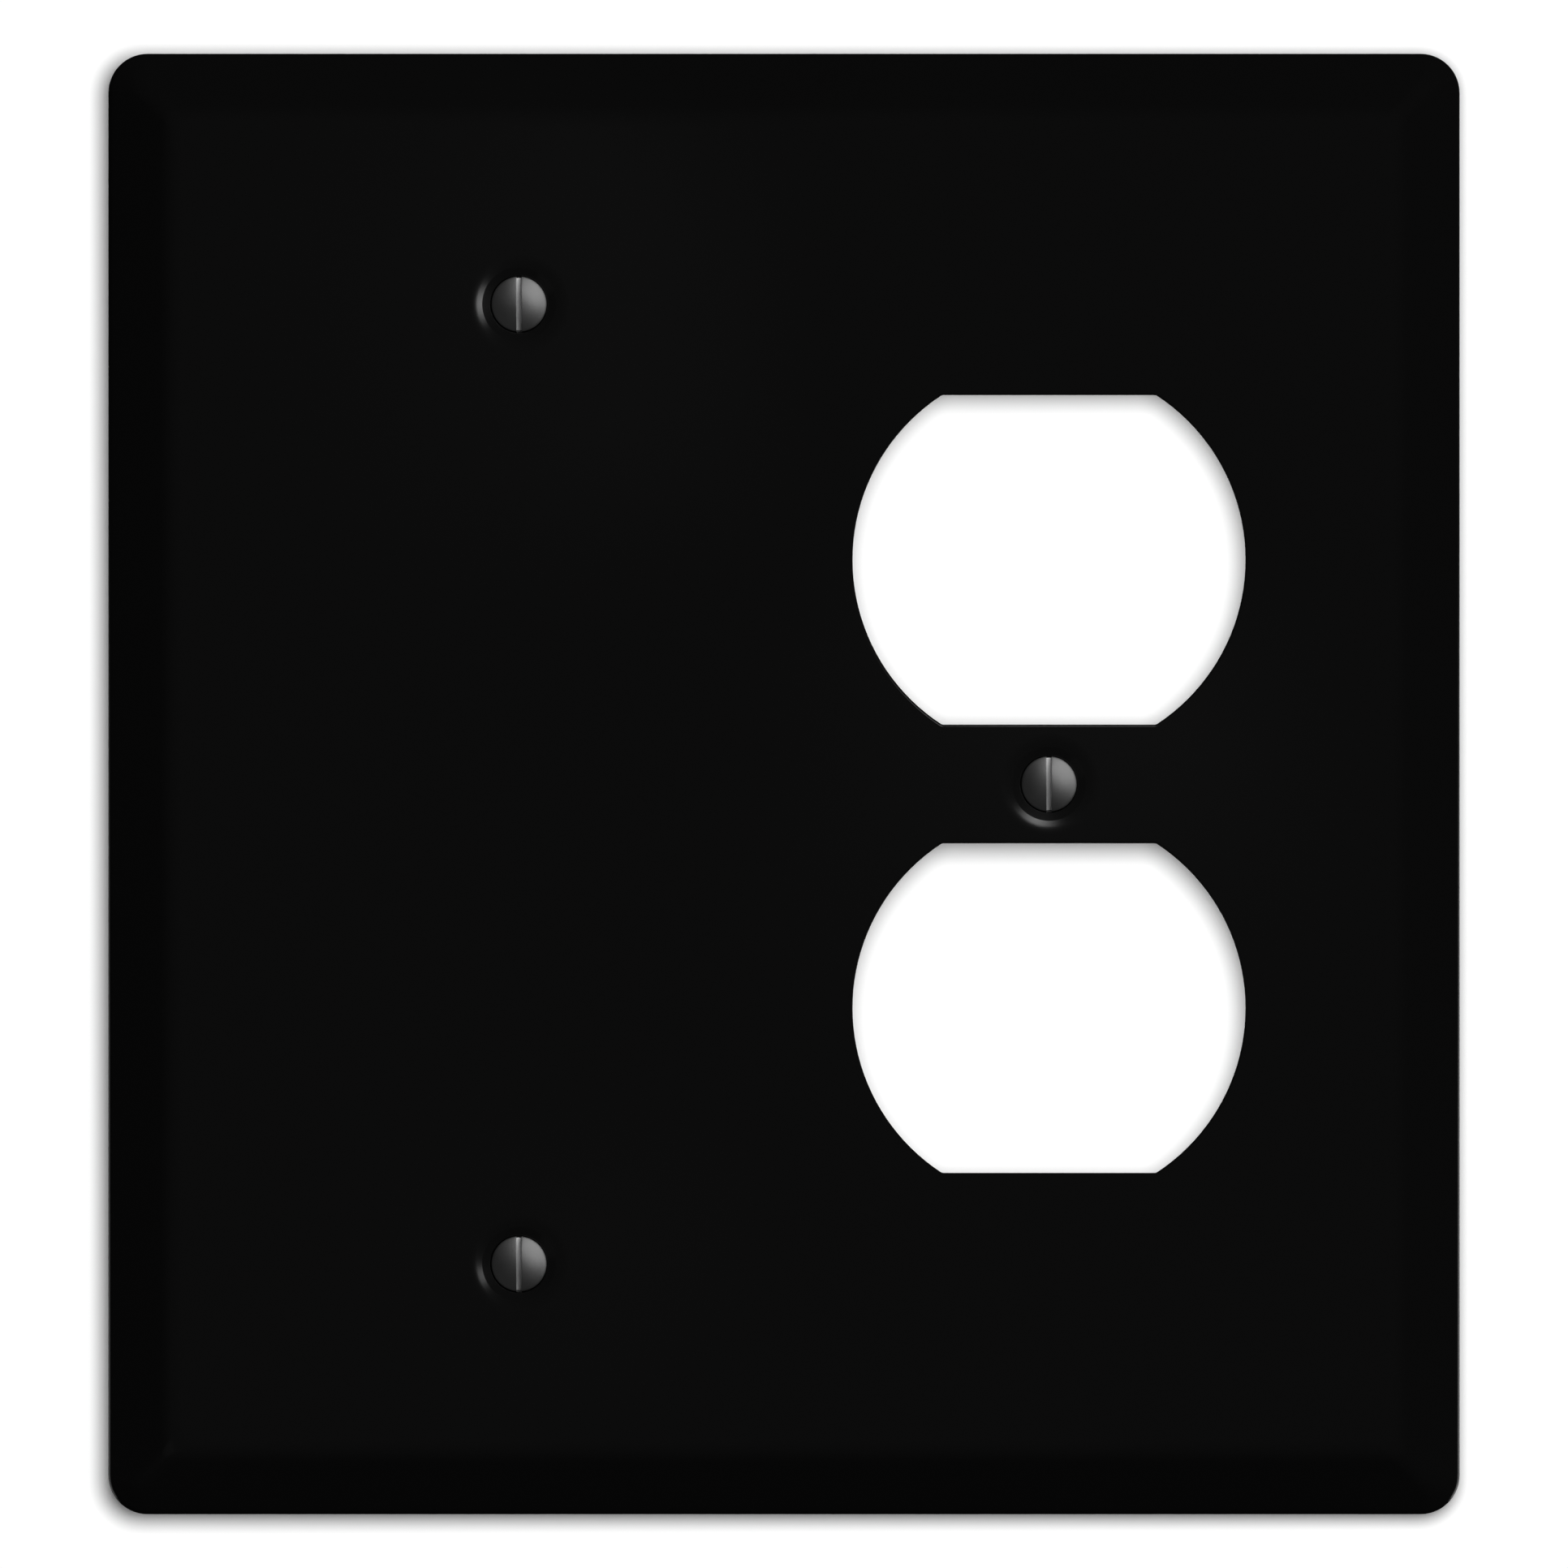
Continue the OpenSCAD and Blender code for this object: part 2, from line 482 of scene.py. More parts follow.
@dataclass
class Dimple:
    """A pressed dimple that lets a countersunk head lie near the face."""

    centre: Pair
    radius: float = 4.0 * MM
    depth: float = 0.6 * MM
    rim_slope: float = 16.0
    rim_end: float = 3.2 * MM
    seat_radius: float = 2.45 * MM
    hole_radius: float = 1.95 * MM
    hole_wall: float = 0.6 * MM
    cone: float = 41.0
    shoulder: float = 3.0 * MM
    seat_bend: float = 0.35 * MM
    edge: float = 0.08 * MM
    boss_wall: float = 0.5 * MM
    back_bend: float = 1.2 * MM
    turns: int = 96
    steps: int = 6

    @property
    def rim_drop(self) -> float:
        """Depth of the inner end of the gently sloping rim."""
        return (self.radius - self.rim_end) * math.tan(math.radians(self.rim_slope))

    @property
    def slope(self) -> float:
        """The slope from the rim down to the seat, in degrees."""
        return math.degrees(math.atan2(self.depth - self.rim_drop, self.rim_end - self.seat_radius))

    @property
    def hole_top(self) -> float:
        """Depth of the foot of the countersink below the face."""
        return self.depth + (self.seat_radius - self.hole_radius) / math.tan(math.radians(self.cone))

    def bend(self, corner: Pair, enter: float, leave: float, radius: float) -> list[Pair]:
        """Rounds a corner of the section.

        Args:
            corner: The sharp corner, as a radius and a depth.
            enter: The direction in which the section arrives, in degrees below inward.
            leave: The direction in which it goes on.
            radius: The bend's radius.

        Returns:
            The points of the bend.
        """
        turn = leave - enter
        first = math.radians(enter)
        reach = radius * math.tan(math.radians(abs(turn) / 2))
        swing = math.copysign(radius, turn)
        start_r = corner[0] + reach * math.cos(first)
        start_d = corner[1] - reach * math.sin(first)
        return [
            (
                start_r - swing * (math.sin(a) - math.sin(first)),
                start_d - swing * (math.cos(a) - math.cos(first)),
            )
            for a in arc(enter, leave, self.steps)
        ]

    def section(self, thickness: float) -> list[Pair]:
        """Lists the section from the flat of the face, through the hole, to the flat of the back.

        Args:
            thickness: The thickness of the sheet.

        Returns:
            Points as a radius and a depth below the face.
        """
        steep = 90 - self.cone
        foot = self.hole_top + self.hole_wall
        boss = self.seat_radius + self.boss_wall
        fall = math.degrees(math.atan2(self.depth, self.radius - self.seat_radius))
        back = self.radius + thickness * math.tan(math.radians(fall / 2))
        boss_depth = thickness + (back - boss) * math.tan(math.radians(fall))
        flank = math.degrees(math.atan2(foot - boss_depth, boss - self.seat_radius))
        front = self.bend((self.radius, 0), 0, self.rim_slope, self.shoulder)
        front += self.bend((self.rim_end, self.rim_drop), self.rim_slope, self.slope, self.seat_bend)
        front += self.bend((self.seat_radius, self.depth), self.slope, steep, self.seat_bend)
        front += self.bend((self.hole_radius, self.hole_top), steep, 90, self.edge)
        hole = self.bend((self.hole_radius, foot), 90, 180, self.edge)
        rear = self.bend((self.seat_radius, foot), 180, 180 + flank, self.edge)
        rear += self.bend((boss, boss_depth), 180 + flank, 180 + fall, self.edge)
        rear += self.bend((back, thickness), 180 + fall, 180, self.back_bend)
        return front + hole + rear

    def circle(self, radius: float, height: float) -> list[Point]:
        """Gives a circle round the hole.

        Args:
            radius: Its radius.
            height: Its height above the wall.

        Returns:
            Its points in the row frame.
        """
        return [
            (self.centre[0] + radius * math.cos(a), -height, self.centre[1] + radius * math.sin(a))
            for a in (math.tau * i / self.turns for i in range(self.turns))
        ]


@dataclass
class WallPlate:
    """The pressed plate: a pan with a sloping border, two openings and three dimples."""

    node: str
    openings: list[Opening]
    dimples: list[Dimple]
    thickness: float = 0.9 * MM
    lip: float = 0.5 * MM
    border_angle: float = 41.0
    lip_bend: float = 1.2 * MM
    face_bend: float = 3.0 * MM
    rim_edge: float = 0.14 * MM
    outline_corner: float = 3.4 * MM
    border_corner: float = 1.5 * MM
    face_corner: float = 1.15 * MM
    least_corner: float = 0.3 * MM
    corner_blend: float = 2.2 * MM
    corner_steps: int = 14
    rim_steps: int = 4
    bend_steps: int = 8
    slope_steps: int = 6
    width: float = field(init=False)
    height: float = field(init=False)
    depth: float = field(init=False)

    def __post_init__(self) -> None:
        """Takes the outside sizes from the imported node."""
        low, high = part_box(self.node)
        self.width = high.x - low.x
        self.height = high.z - low.z
        self.depth = -low.y

    @property
    def border(self) -> float:
        """Works out the width of the border.

        Returns:
            The distance from the outline to the flat of the face.
        """
        tilt = math.radians(self.border_angle)
        lip_part = self.lip_bend * (1 - math.sin(tilt))
        face_part = self.face_bend * math.sin(tilt)
        rise = self.depth - self.face_bend * (1 - math.cos(tilt)) - self.lip
        return lip_part + face_part + (rise - self.lip_bend * math.cos(tilt)) / math.tan(tilt)

    def corner_at(self, inset: float) -> float:
        """Gives the corner radius of the outer skin at an inset.

        Args:
            inset: The distance in from the outline.

        Returns:
            A radius that falls quickly off the lip and then slowly along the border.
        """
        near = ease(inset / self.corner_blend)
        along = min(inset / self.border, 1)
        border = self.border_corner + (self.face_corner - self.border_corner) * along
        return self.outline_corner + (border - self.outline_corner) * near

    def point(self, inset: float, height: float, tilt: float, skin: float) -> SectionPoint:
        """Makes one ring of a skin.

        Args:
            inset: The outer skin's inset there.
            height: The outer skin's height there.
            tilt: The outer skin's normal there, in degrees from straight out of the wall.
            skin: How far the ring lies below the outer skin.

        Returns:
            The ring's place and corner.
        """
        lean = math.radians(tilt)
        corner = max(self.corner_at(inset) - skin * math.sin(lean), self.least_corner)
        return SectionPoint(inset + skin * math.sin(lean), height - skin * math.cos(lean), corner)

    def border_rings(self, skin: float) -> list[SectionPoint]:
        """Lists one skin's rings from the flat of the face down to the lip.

        Args:
            skin: How far the skin lies below the outside.

        Returns:
            The rings of the face's bend, the slope and the lip's bend.
        """
        rings = []
        for tilt in arc(0, self.border_angle, self.bend_steps):
            inset = self.border - self.face_bend * math.sin(tilt)
            height = self.depth - self.face_bend * (1 - math.cos(tilt))
            rings.append(self.point(inset, height, math.degrees(tilt), skin))
        top_inset, top_height = inset, height
        lean = math.radians(self.border_angle)
        foot_inset = self.lip_bend * (1 - math.sin(lean))
        foot_height = self.lip + self.lip_bend * math.cos(lean)
        for i in range(1, self.slope_steps):
            t = i / self.slope_steps
            inset = top_inset + (foot_inset - top_inset) * t
            height = top_height + (foot_height - top_height) * t
            rings.append(self.point(inset, height, self.border_angle, skin))
        for tilt in arc(self.border_angle, 90, self.bend_steps):
            inset = self.lip_bend * (1 - math.sin(tilt))
            height = self.lip + self.lip_bend * math.cos(tilt)
            rings.append(self.point(inset, height, math.degrees(tilt), skin))
        return rings

    def rim_rings(self) -> list[SectionPoint]:
        """Lists the rings round the cut rim.

        Returns:
            The rings, from the outer skin to the inner one.
        """
        edge = self.rim_edge
        rings = []
        for a in arc(0, 90, self.rim_steps):
            inset = edge * (1 - math.cos(a))
            rings.append(SectionPoint(inset, edge * (1 - math.sin(a)), self.outline_corner - inset))
        for a in arc(90, 0, self.rim_steps):
            inset = self.thickness - edge * (1 - math.cos(a))
            rings.append(SectionPoint(inset, edge * (1 - math.sin(a)), self.outline_corner - inset))
        return rings

    def rounded(self, at: SectionPoint) -> list[Point]:
        """Gives a ring's points: a rectangle with round corners.

        Args:
            at: The ring.

        Returns:
            Its points in the row frame.
        """
        half_w = self.width / 2 - at.inset - at.corner
        half_h = self.height / 2 - at.inset - at.corner
        points = []
        for quarter, (side_x, side_z) in enumerate(((1, 1), (-1, 1), (-1, -1), (1, -1))):
            for a in arc(90 * quarter, 90 * (quarter + 1), self.corner_steps):
                x = side_x * half_w + at.corner * math.cos(a)
                z = side_z * half_h + at.corner * math.sin(a)
                points.append((x, -at.height, z))
        return points

    def build(self) -> bpy.types.Object:
        """Builds the plate's mesh as one closed skin of sheet steel.

        Returns:
            The unpainted plate.
        """
        skin = SkinMesh()
        outer = self.border_rings(0)
        inner = self.border_rings(self.thickness)
        border = [skin.ring(self.rounded(at)) for at in outer + self.rim_rings() + inner[::-1]]
        skin.join(border)
        edges = {Side.FRONT: [border[0]], Side.BACK: [border[-1]]}
        for opening in self.openings:
            walls = [
                skin.ring(opening.outline(growth, height))
                for growth, height in opening.walls(self.depth, self.thickness)
            ]
            skin.join(walls)
            edges[Side.FRONT].append(walls[0])
            edges[Side.BACK].append(walls[-1])
        for dimple in self.dimples:
            rings = [
                skin.ring(dimple.circle(radius, self.depth - depth))
                for radius, depth in dimple.section(self.thickness)
            ]
            skin.join(rings)
            edges[Side.FRONT].append(rings[0])
            edges[Side.BACK].append(rings[-1])
        for side, loops in edges.items():
            skin.panel(loops, Vector((0, -1 if side is Side.FRONT else 1, 0)))
        return skin.finish("pressed_plate")

    def make(self, finish: BakedEnamel) -> bpy.types.Object:
        """Builds and paints the plate, and puts it in the place of its CAD node.

        Args:
            finish: The plate's finish.

        Returns:
            The finished piece.
        """
        piece = self.build()
        piece.data.materials.append(finish.material())
        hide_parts(self.node)
        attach(piece, self.node)
        return piece


# The screws --------------------------------------------------------------------------------------


class Coat(IntEnum):
    """The finishes of a screw, in the order of its material slots."""

    HEAD = 0
    SLOT_WALL = 1
    SLOT_FLOOR = 2
    SHANK = 3


@dataclass
class OvalHeadScrew:
    """A slotted oval-head machine screw with a rolled thread.

    crest_flat and root_flat are parts of half a pitch, and run_in is in pitches. cutter_reach is in
    head radii, and rim_lift is the dome's rise for each step in from the rim.
    """

    node: str
    crown: float = 0.65 * MM
    edge: float = 0.15 * MM
    rim_ease: float = 0.03 * MM
    rim_lift: float = 0.4
    cone: float = 41.0
    neck_radius: float = 1.5 * MM
    neck_length: float = 1.3 * MM
    slot_width: float = 0.45 * MM
    slot_depth: float = 0.75 * MM
    slot_edge: float = 0.04 * MM
    slot_edge_steps: int = 3
    eased_above: float = 70.0
    slot_sweep: float = 15 * MM
    slot_steps: int = 24
    cutter_reach: float = 1.5
    slot_nearness: float = 0.02 * MM
    wall_facing: float = 0.9
    weld_reach: float = 0.0005 * MM
    paint_reach: float = 0.35 * MM
    pitch: float = 0.794 * MM
    thread_depth: float = 0.48 * MM
    thread_radius: float = 1.75 * MM
    crest_flat: float = 0.14
    root_flat: float = 0.2
    run_in: float = 0.7
    thread_rows: int = 16
    tip_chamfer: float = 0.45 * MM
    tip_clearance: float = 0.01 * MM
    turns: int = 64
    dome_steps: int = 14
    centre: Pair = field(init=False)
    radius: float = field(init=False)
    top: float = field(init=False)
    thread_start: float = field(init=False)
    tip: float = field(init=False)

    def __post_init__(self) -> None:
        """Takes the screw's place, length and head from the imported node."""
        low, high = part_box(self.node)
        self.centre = ((low.x + high.x) / 2, (low.z + high.z) / 2)
        self.radius = (high.x - low.x) / 2
        self.top = -low.y
        self.thread_start = self.top - self.crown - self.edge - self.neck_length
        self.tip = self.tip_clearance - high.y

    def circle(self, radius: float, height: float) -> list[Point]:
        """Gives a circle round the screw's axis, in the row frame."""
        return [self.at(math.tau * i / self.turns, radius, height) for i in range(self.turns)]

    def at(self, angle: float, radius: float, height: float) -> Point:
        """Gives one point about the screw's axis, in the row frame.

        Args:
            angle: The angle from the right towards the top, in radians.
            radius: The distance from the axis.
            height: The height above the wall.

        Returns:
            The point.
        """
        x = self.centre[0] + radius * math.cos(angle)
        z = self.centre[1] + radius * math.sin(angle)
        return (x, -height, z)

    def head_section(self) -> list[Pair]:
        """Lists the head's section from the crown to the neck.

        Returns:
            Points as a radius and a height above the wall.
        """
        sphere = (self.radius**2 + self.crown**2) / (2 * self.crown)
        widest = math.degrees(math.asin(self.radius / sphere))
        dome = [
            (sphere * math.sin(a), self.top - sphere * (1 - math.cos(a)))
            for a in arc(0, widest, self.dome_steps)[1:]
        ]
        rim = self.top - self.crown
        foot = rim - self.edge
        neck = foot - (self.radius - self.neck_radius) / math.tan(math.radians(self.cone))
        nip = self.rim_ease
        dome[-1] = (self.radius - nip, dome[-1][1] + nip * self.rim_lift)
        return dome + [
            (self.radius, rim - nip),
            (self.radius, foot + nip),
            (self.radius - nip, foot - nip),
            (self.neck_radius + nip, neck + nip),
            (self.neck_radius, neck - nip),
        ]

    def thread_cut(self, phase: float) -> float:
        """Gives how deep the thread is cut.

        Args:
            phase: The place across the thread, in pitches. A crest is at each whole number.

        Returns:
            A share of the thread's depth, from 0 on a crest to 1 in a root.
        """
        t = abs(phase - round(phase)) * 2
        flank = 1 - self.crest_flat - self.root_flat
        return min(max((t - self.crest_flat) / flank, 0.0), 1.0)

    def thread_reach(self, turn: float, height: float) -> float:
        """Gives the right-hand thread's radius at one place.

        Args:
            turn: The angle there, as a part of a whole turn.
            height: The height above the wall.

        Returns:
            The radius, which grows out of the neck and is chamfered at the tip.
        """
        depth = self.thread_start - height
        cut = self.thread_radius - self.thread_cut(depth / self.pitch + turn) * self.thread_depth
        grown = self.neck_radius + (cut - self.neck_radius) * ease(depth / (self.run_in * self.pitch))
        return min(grown, self.thread_radius - self.tip_chamfer + height - self.tip)

    def thread_rings(self) -> list[list[Point]]:
        """Lists the thread's level rings.

        Returns:
            Rings of points, from the end of the neck down to the tip.
        """
        count = math.ceil((self.thread_start - self.tip) / self.pitch * self.thread_rows)
        turns = [i / self.turns for i in range(self.turns)]
        rings = []
        for row in range(count + 1):
            height = self.thread_start + (self.tip - self.thread_start) * row / count
            reaches = [self.thread_reach(turn, height) for turn in turns]
            rings.append([self.at(math.tau * turn, reach, height) for turn, reach in zip(turns, reaches)])
        return rings

    def build(self) -> bpy.types.Object:
        """Builds the screw as one closed mesh, with its slot cut.

        Returns:
            The unfinished screw.
        """
        skin = SkinMesh()
        rings = [skin.ring(self.circle(radius, height)) for radius, height in self.head_section()]
        rings += [skin.ring(points) for points in self.thread_rings()]
        skin.join(rings)
        skin.cap(rings[0])
        skin.cap(rings[-1])
        screw = skin.finish(self.node + "_solid")
        self.cut_slot(screw)
        return screw

    def slot_floor(self, along: float) -> float:
        """Gives the height of the slot's convex floor at a distance along it from the middle."""
        return self.top - self.slot_depth - along * along / (2 * self.slot_sweep)

    def cut_slot(self, screw: bpy.types.Object) -> None:
        """Cuts the driver slot and eases its edges.

        Args:
            screw: The screw, which is changed.
        """
        tool = SkinMesh()
        reach = self.cutter_reach * self.radius
        places = [reach * (1 - 2 * i / self.slot_steps) for i in range(self.slot_steps + 1)]
        floor = [(z, self.slot_floor(z)) for z in places]
        profile = [*floor, (-reach, self.top + self.crown), (reach, self.top + self.crown)]
        sides = [
            tool.ring([(self.centre[0] + x, -height, self.centre[1] + z) for z, height in profile])
            for x in (-self.slot_width / 2, self.slot_width / 2)
        ]
        tool.join(sides)
        for side in sides:
            tool.cap(side)
        cutter = tool.finish("slot_cutter")
        cut = screw.modifiers.new("slot", "BOOLEAN")
        cut.operation = "DIFFERENCE"
        cut.solver = "EXACT"
        cut.object = cutter
        ease_edges = screw.modifiers.new("eased", "BEVEL")
        ease_edges.width = self.slot_edge
        ease_edges.segments = self.slot_edge_steps
        ease_edges.limit_method = "ANGLE"
        ease_edges.angle_limit = math.radians(self.eased_above)
        weld = screw.modifiers.new("weld", "WELD")
        weld.merge_threshold = self.weld_reach
        screw.modifiers.new("even_shading", "WEIGHTED_NORMAL")
        bpy.context.view_layer.update()
        solved = screw.evaluated_get(bpy.context.evaluated_depsgraph_get())
        cut_mesh = bpy.data.meshes.new_from_object(solved)
        screw.modifiers.clear()
        screw.data = cut_mesh
        bpy.data.objects.remove(cutter)

    def coat_of(self, face: bpy.types.MeshPolygon) -> Coat:
        """Tells which finish a face of the screw has.

        Args:
            face: The face.

        Returns:
            Its finish: paint stops a little below the head's edge, and is scraped out of the slot.
        """
        aside = abs(face.center.x - self.centre[0])
        height = -face.center.y
        floor = self.slot_floor(face.center.z - self.centre[1])
        half = self.slot_width / 2
        if aside < half and abs(height - floor) < self.slot_nearness:
            return Coat.SLOT_FLOOR
        upright = abs(face.normal.x) > self.wall_facing
        if aside < half + self.slot_nearness / 2 and height > floor and upright:
            return Coat.SLOT_WALL
        painted = self.top - self.crown - self.edge - self.paint_reach
        return Coat.HEAD if height > painted else Coat.SHANK

    def make(self, finishes: dict[Coat, bpy.types.Material]) -> bpy.types.Object:
        """Builds and finishes the screw, and puts it in the place of its CAD node.

        Args:
            finishes: The material of each coat.

        Returns:
            The finished piece.
        """
        piece = self.build()
        piece.name = self.node + "_turned"
        piece.data.materials.clear()
        for coat in Coat:
            piece.data.materials.append(finishes[coat])
        for face in piece.data.polygons:
            face.material_index = self.coat_of(face)
        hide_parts(self.node)
        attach(piece, self.node)
        return piece


# The studio --------------------------------------------------------------------------------------


class LitBy(Enum):
    """What a lamp lights."""

    PLATE = "plate"
    SCREWS = "screws"
    BACKDROP = "backdrop"


@dataclass(frozen=True)
class Lamp:
    """A soft rectangular lamp that lights one kind of thing.

    It stands at a distance from the point that it faces: off_axis is the angle from straight out of the
    wall, and bearing turns from the right towards the top. across and along are its half widths as
    angles, round the bearing and away from the axis. A gridded lamp sends no light beyond its spread.
    """

    name: str
    lights: LitBy
    bearing: float
    off_axis: float
    across: float
    along: float
    radiance: float
    distance: float = 1.0
    aim: Point = (0.0, 0.0, 0.0)
    spread: float = NO_GRID

    def make(self, receivers: bpy.types.Collection) -> bpy.types.Object:
        """Adds the lamp to the scene.

        Args:
            receivers: The things that it lights.

        Returns:
            The lamp.
        """
        turn, off = math.radians(self.bearing), math.radians(self.off_axis)
        out = Vector((math.sin(off) * math.cos(turn), -math.cos(off), math.sin(off) * math.sin(turn)))
        side = Vector((-math.sin(turn), 0, math.cos(turn)))
        data = bpy.data.lights.new(self.name, "AREA")
        data.shape = "RECTANGLE"
        data.size = 2 * self.distance * math.tan(math.radians(self.across))
        data.size_y = 2 * self.distance * math.tan(math.radians(self.along))
        data.spread = math.radians(self.spread)
        data.energy = self.radiance * math.pi * data.size * data.size_y / self.gathering
        lamp = bpy.data.objects.new(self.name, data)
        axes = Matrix((side, out.cross(side), out)).transposed().to_4x4()
        lamp.matrix_world = Matrix.Translation(Vector(self.aim) + out * self.distance) @ axes
        lamp.visible_camera = False
        bpy.context.scene.collection.objects.link(lamp)
        lamp.light_linking.receiver_collection = receivers
        return lamp

    @property
    def gathering(self) -> float:
        """How much brighter a grid makes the middle of the beam at the same power."""
        half = math.radians(self.spread / 2)
        return math.tan(half) / (math.tan(half) - half) if self.spread < NO_GRID else 1.0


@dataclass
class Studio:
    """The camera, the lamps and the pale backdrop.

    room is the height of the view in plate heights. The sensor and the lens are in millimetres. sky is
    the direction in which the surroundings are brighter, as light, and their level.
    """

    plate_height: float
    room: float = 1.0739
    distance: float = 2.4
    sensor: float = 36.0
    nearest: float = 0.01
    farthest: float = 20.0
    gap: float = 8.6 * MM
    tilt: float = 1.0
    backdrop_size: float = 0.26
    paper: float = 0.9
    glow: float = 0.04
    white: float = 1.04
    disc_distance: float = 1.1
    disc_radius: float = 0.131
    disc_shift: float = 0.042
    glint_distance: float = 0.06
    glint_spread: float = 36.0
    sky: tuple[float, float, float, float] = (0.010, -0.043, 0.010, 0.041)
    least_sky: float = 0.004
    groups: dict[LitBy, bpy.types.Collection] = field(default_factory=dict)

    def group(self, kind: LitBy, things: Sequence[bpy.types.Object]) -> None:
        """Gathers the things that one kind of lamp lights.

        Args:
            kind: The kind of lamp.
            things: What it lights.
        """
        gathered = bpy.data.collections.new("lit_" + kind.value)
        for thing in things:
            gathered.objects.link(thing)
        self.groups[kind] = gathered

    def camera(self) -> None:
        """Adds a long lens that looks straight at the plate."""
        data = bpy.data.cameras.new("camera")
        data.sensor_width = self.sensor
        data.lens = self.sensor * self.distance / (self.plate_height * self.room)
        data.clip_start = self.nearest
        data.clip_end = self.farthest
        camera = bpy.data.objects.new("camera", data)
        camera.location = (0, -self.distance, 0)
        camera.rotation_euler = (math.radians(90), 0, 0)
        bpy.context.scene.collection.objects.link(camera)
        bpy.context.scene.camera = camera

    def world(self) -> None:
        """Makes the surroundings pale to the eye and dim as a light, a little brighter up and right."""
        world = bpy.data.worlds.new("surroundings")
        world.use_nodes = True
        tree = world.node_tree
        tree.nodes.clear()
        seen = tree.nodes.new("ShaderNodeBackground")
        seen.inputs["Color"].default_value = (1, 1, 1, 1)
        dim = tree.nodes.new("ShaderNodeBackground")
        dim.inputs["Color"].default_value = (1, 1, 1, 1)
        direction = tree.nodes.new("ShaderNodeTexCoord")
        lean = tree.nodes.new("ShaderNodeVectorMath")
        lean.operation = "DOT_PRODUCT"
        lean.inputs[1].default_value = self.sky[:3]
        level = tree.nodes.new("ShaderNodeMath")
        level.operation = "ADD"
        level.inputs[1].default_value = self.sky[3]
        floor = tree.nodes.new("ShaderNodeMath")
        floor.operation = "MAXIMUM"
        floor.inputs[1].default_value = self.least_sky
        path = tree.nodes.new("ShaderNodeLightPath")
        mix = tree.nodes.new("ShaderNodeMixShader")
        out = tree.nodes.new("ShaderNodeOutputWorld")
        tree.links.new(direction.outputs["Generated"], lean.inputs[0])
        tree.links.new(lean.outputs["Value"], level.inputs[0])
        tree.links.new(level.outputs[0], floor.inputs[0])
        tree.links.new(floor.outputs[0], dim.inputs["Strength"])
        tree.links.new(path.outputs["Is Camera Ray"], mix.inputs[0])
        tree.links.new(dim.outputs[0], mix.inputs[1])
        tree.links.new(seen.outputs[0], mix.inputs[2])
        tree.links.new(mix.outputs[0], out.inputs[0])
        bpy.context.scene.world = world

    def backdrop(self) -> bpy.types.Object:
        """Hangs a white backdrop behind the screws' tips, which is clear from behind.

        Returns:
            The backdrop.
        """
        half = self.backdrop_size / 2
        mesh = bpy.data.meshes.new("backdrop")
        corners = [(-half, 0, -half), (half, 0, -half), (half, 0, half), (-half, 0, half)]
        mesh.from_pydata(corners, [], [(0, 1, 2, 3)])
        sheet = bpy.data.objects.new("backdrop", mesh)
        sheet.location = (0, self.gap, 0)
        sheet.rotation_euler = (0, 0, -math.radians(self.tilt))
        bpy.context.scene.collection.objects.link(sheet)
        material = bpy.data.materials.new("backdrop_paper")
        material.use_nodes = True
        tree = material.node_tree
        tree.nodes.clear()
        paper = tree.nodes.new("ShaderNodeBsdfDiffuse")
        paper.inputs["Color"].default_value = (self.paper, self.paper, self.paper, 1)
        glow = tree.nodes.new("ShaderNodeEmission")
        glow.inputs["Strength"].default_value = self.glow
        lit = tree.nodes.new("ShaderNodeAddShader")
        clear = tree.nodes.new("ShaderNodeBsdfTransparent")
        mix = tree.nodes.new("ShaderNodeMixShader")
        out = tree.nodes.new("ShaderNodeOutputMaterial")
        side = tree.nodes.new("ShaderNodeNewGeometry")
        tree.links.new(paper.outputs[0], lit.inputs[0])
        tree.links.new(glow.outputs[0], lit.inputs[1])
        tree.links.new(side.outputs["Backfacing"], mix.inputs[0])
        tree.links.new(lit.outputs[0], mix.inputs[1])
        tree.links.new(clear.outputs[0], mix.inputs[2])
        tree.links.new(mix.outputs[0], out.inputs[0])
        mesh.materials.append(material)
        sheet.visible_diffuse = False
        sheet.visible_glossy = False
        sheet.visible_shadow = False
        return sheet

    def backdrop_lamp(self) -> None:
        """Lights the backdrop alone with a soft disc beside the lens, so that a soft shadow falls on it."""
        data = bpy.data.lights.new("backdrop_lamp", "AREA")
        data.shape = "DISK"
        data.size = 2 * self.disc_radius
        reach = self.disc_distance + self.gap
        area = math.pi * self.disc_radius**2
        radiance = math.pi * (self.white - self.glow) / self.paper * reach**2 / area
        data.energy = radiance * math.pi * area
        lamp = bpy.data.objects.new("backdrop_lamp", data)
        lamp.location = (self.disc_shift, -self.disc_distance, self.disc_shift)
        lamp.rotation_euler = (math.radians(90), 0, 0)
        lamp.visible_camera = False
        bpy.context.scene.collection.objects.link(lamp)
        lamp.light_linking.receiver_collection = self.groups[LitBy.BACKDROP]

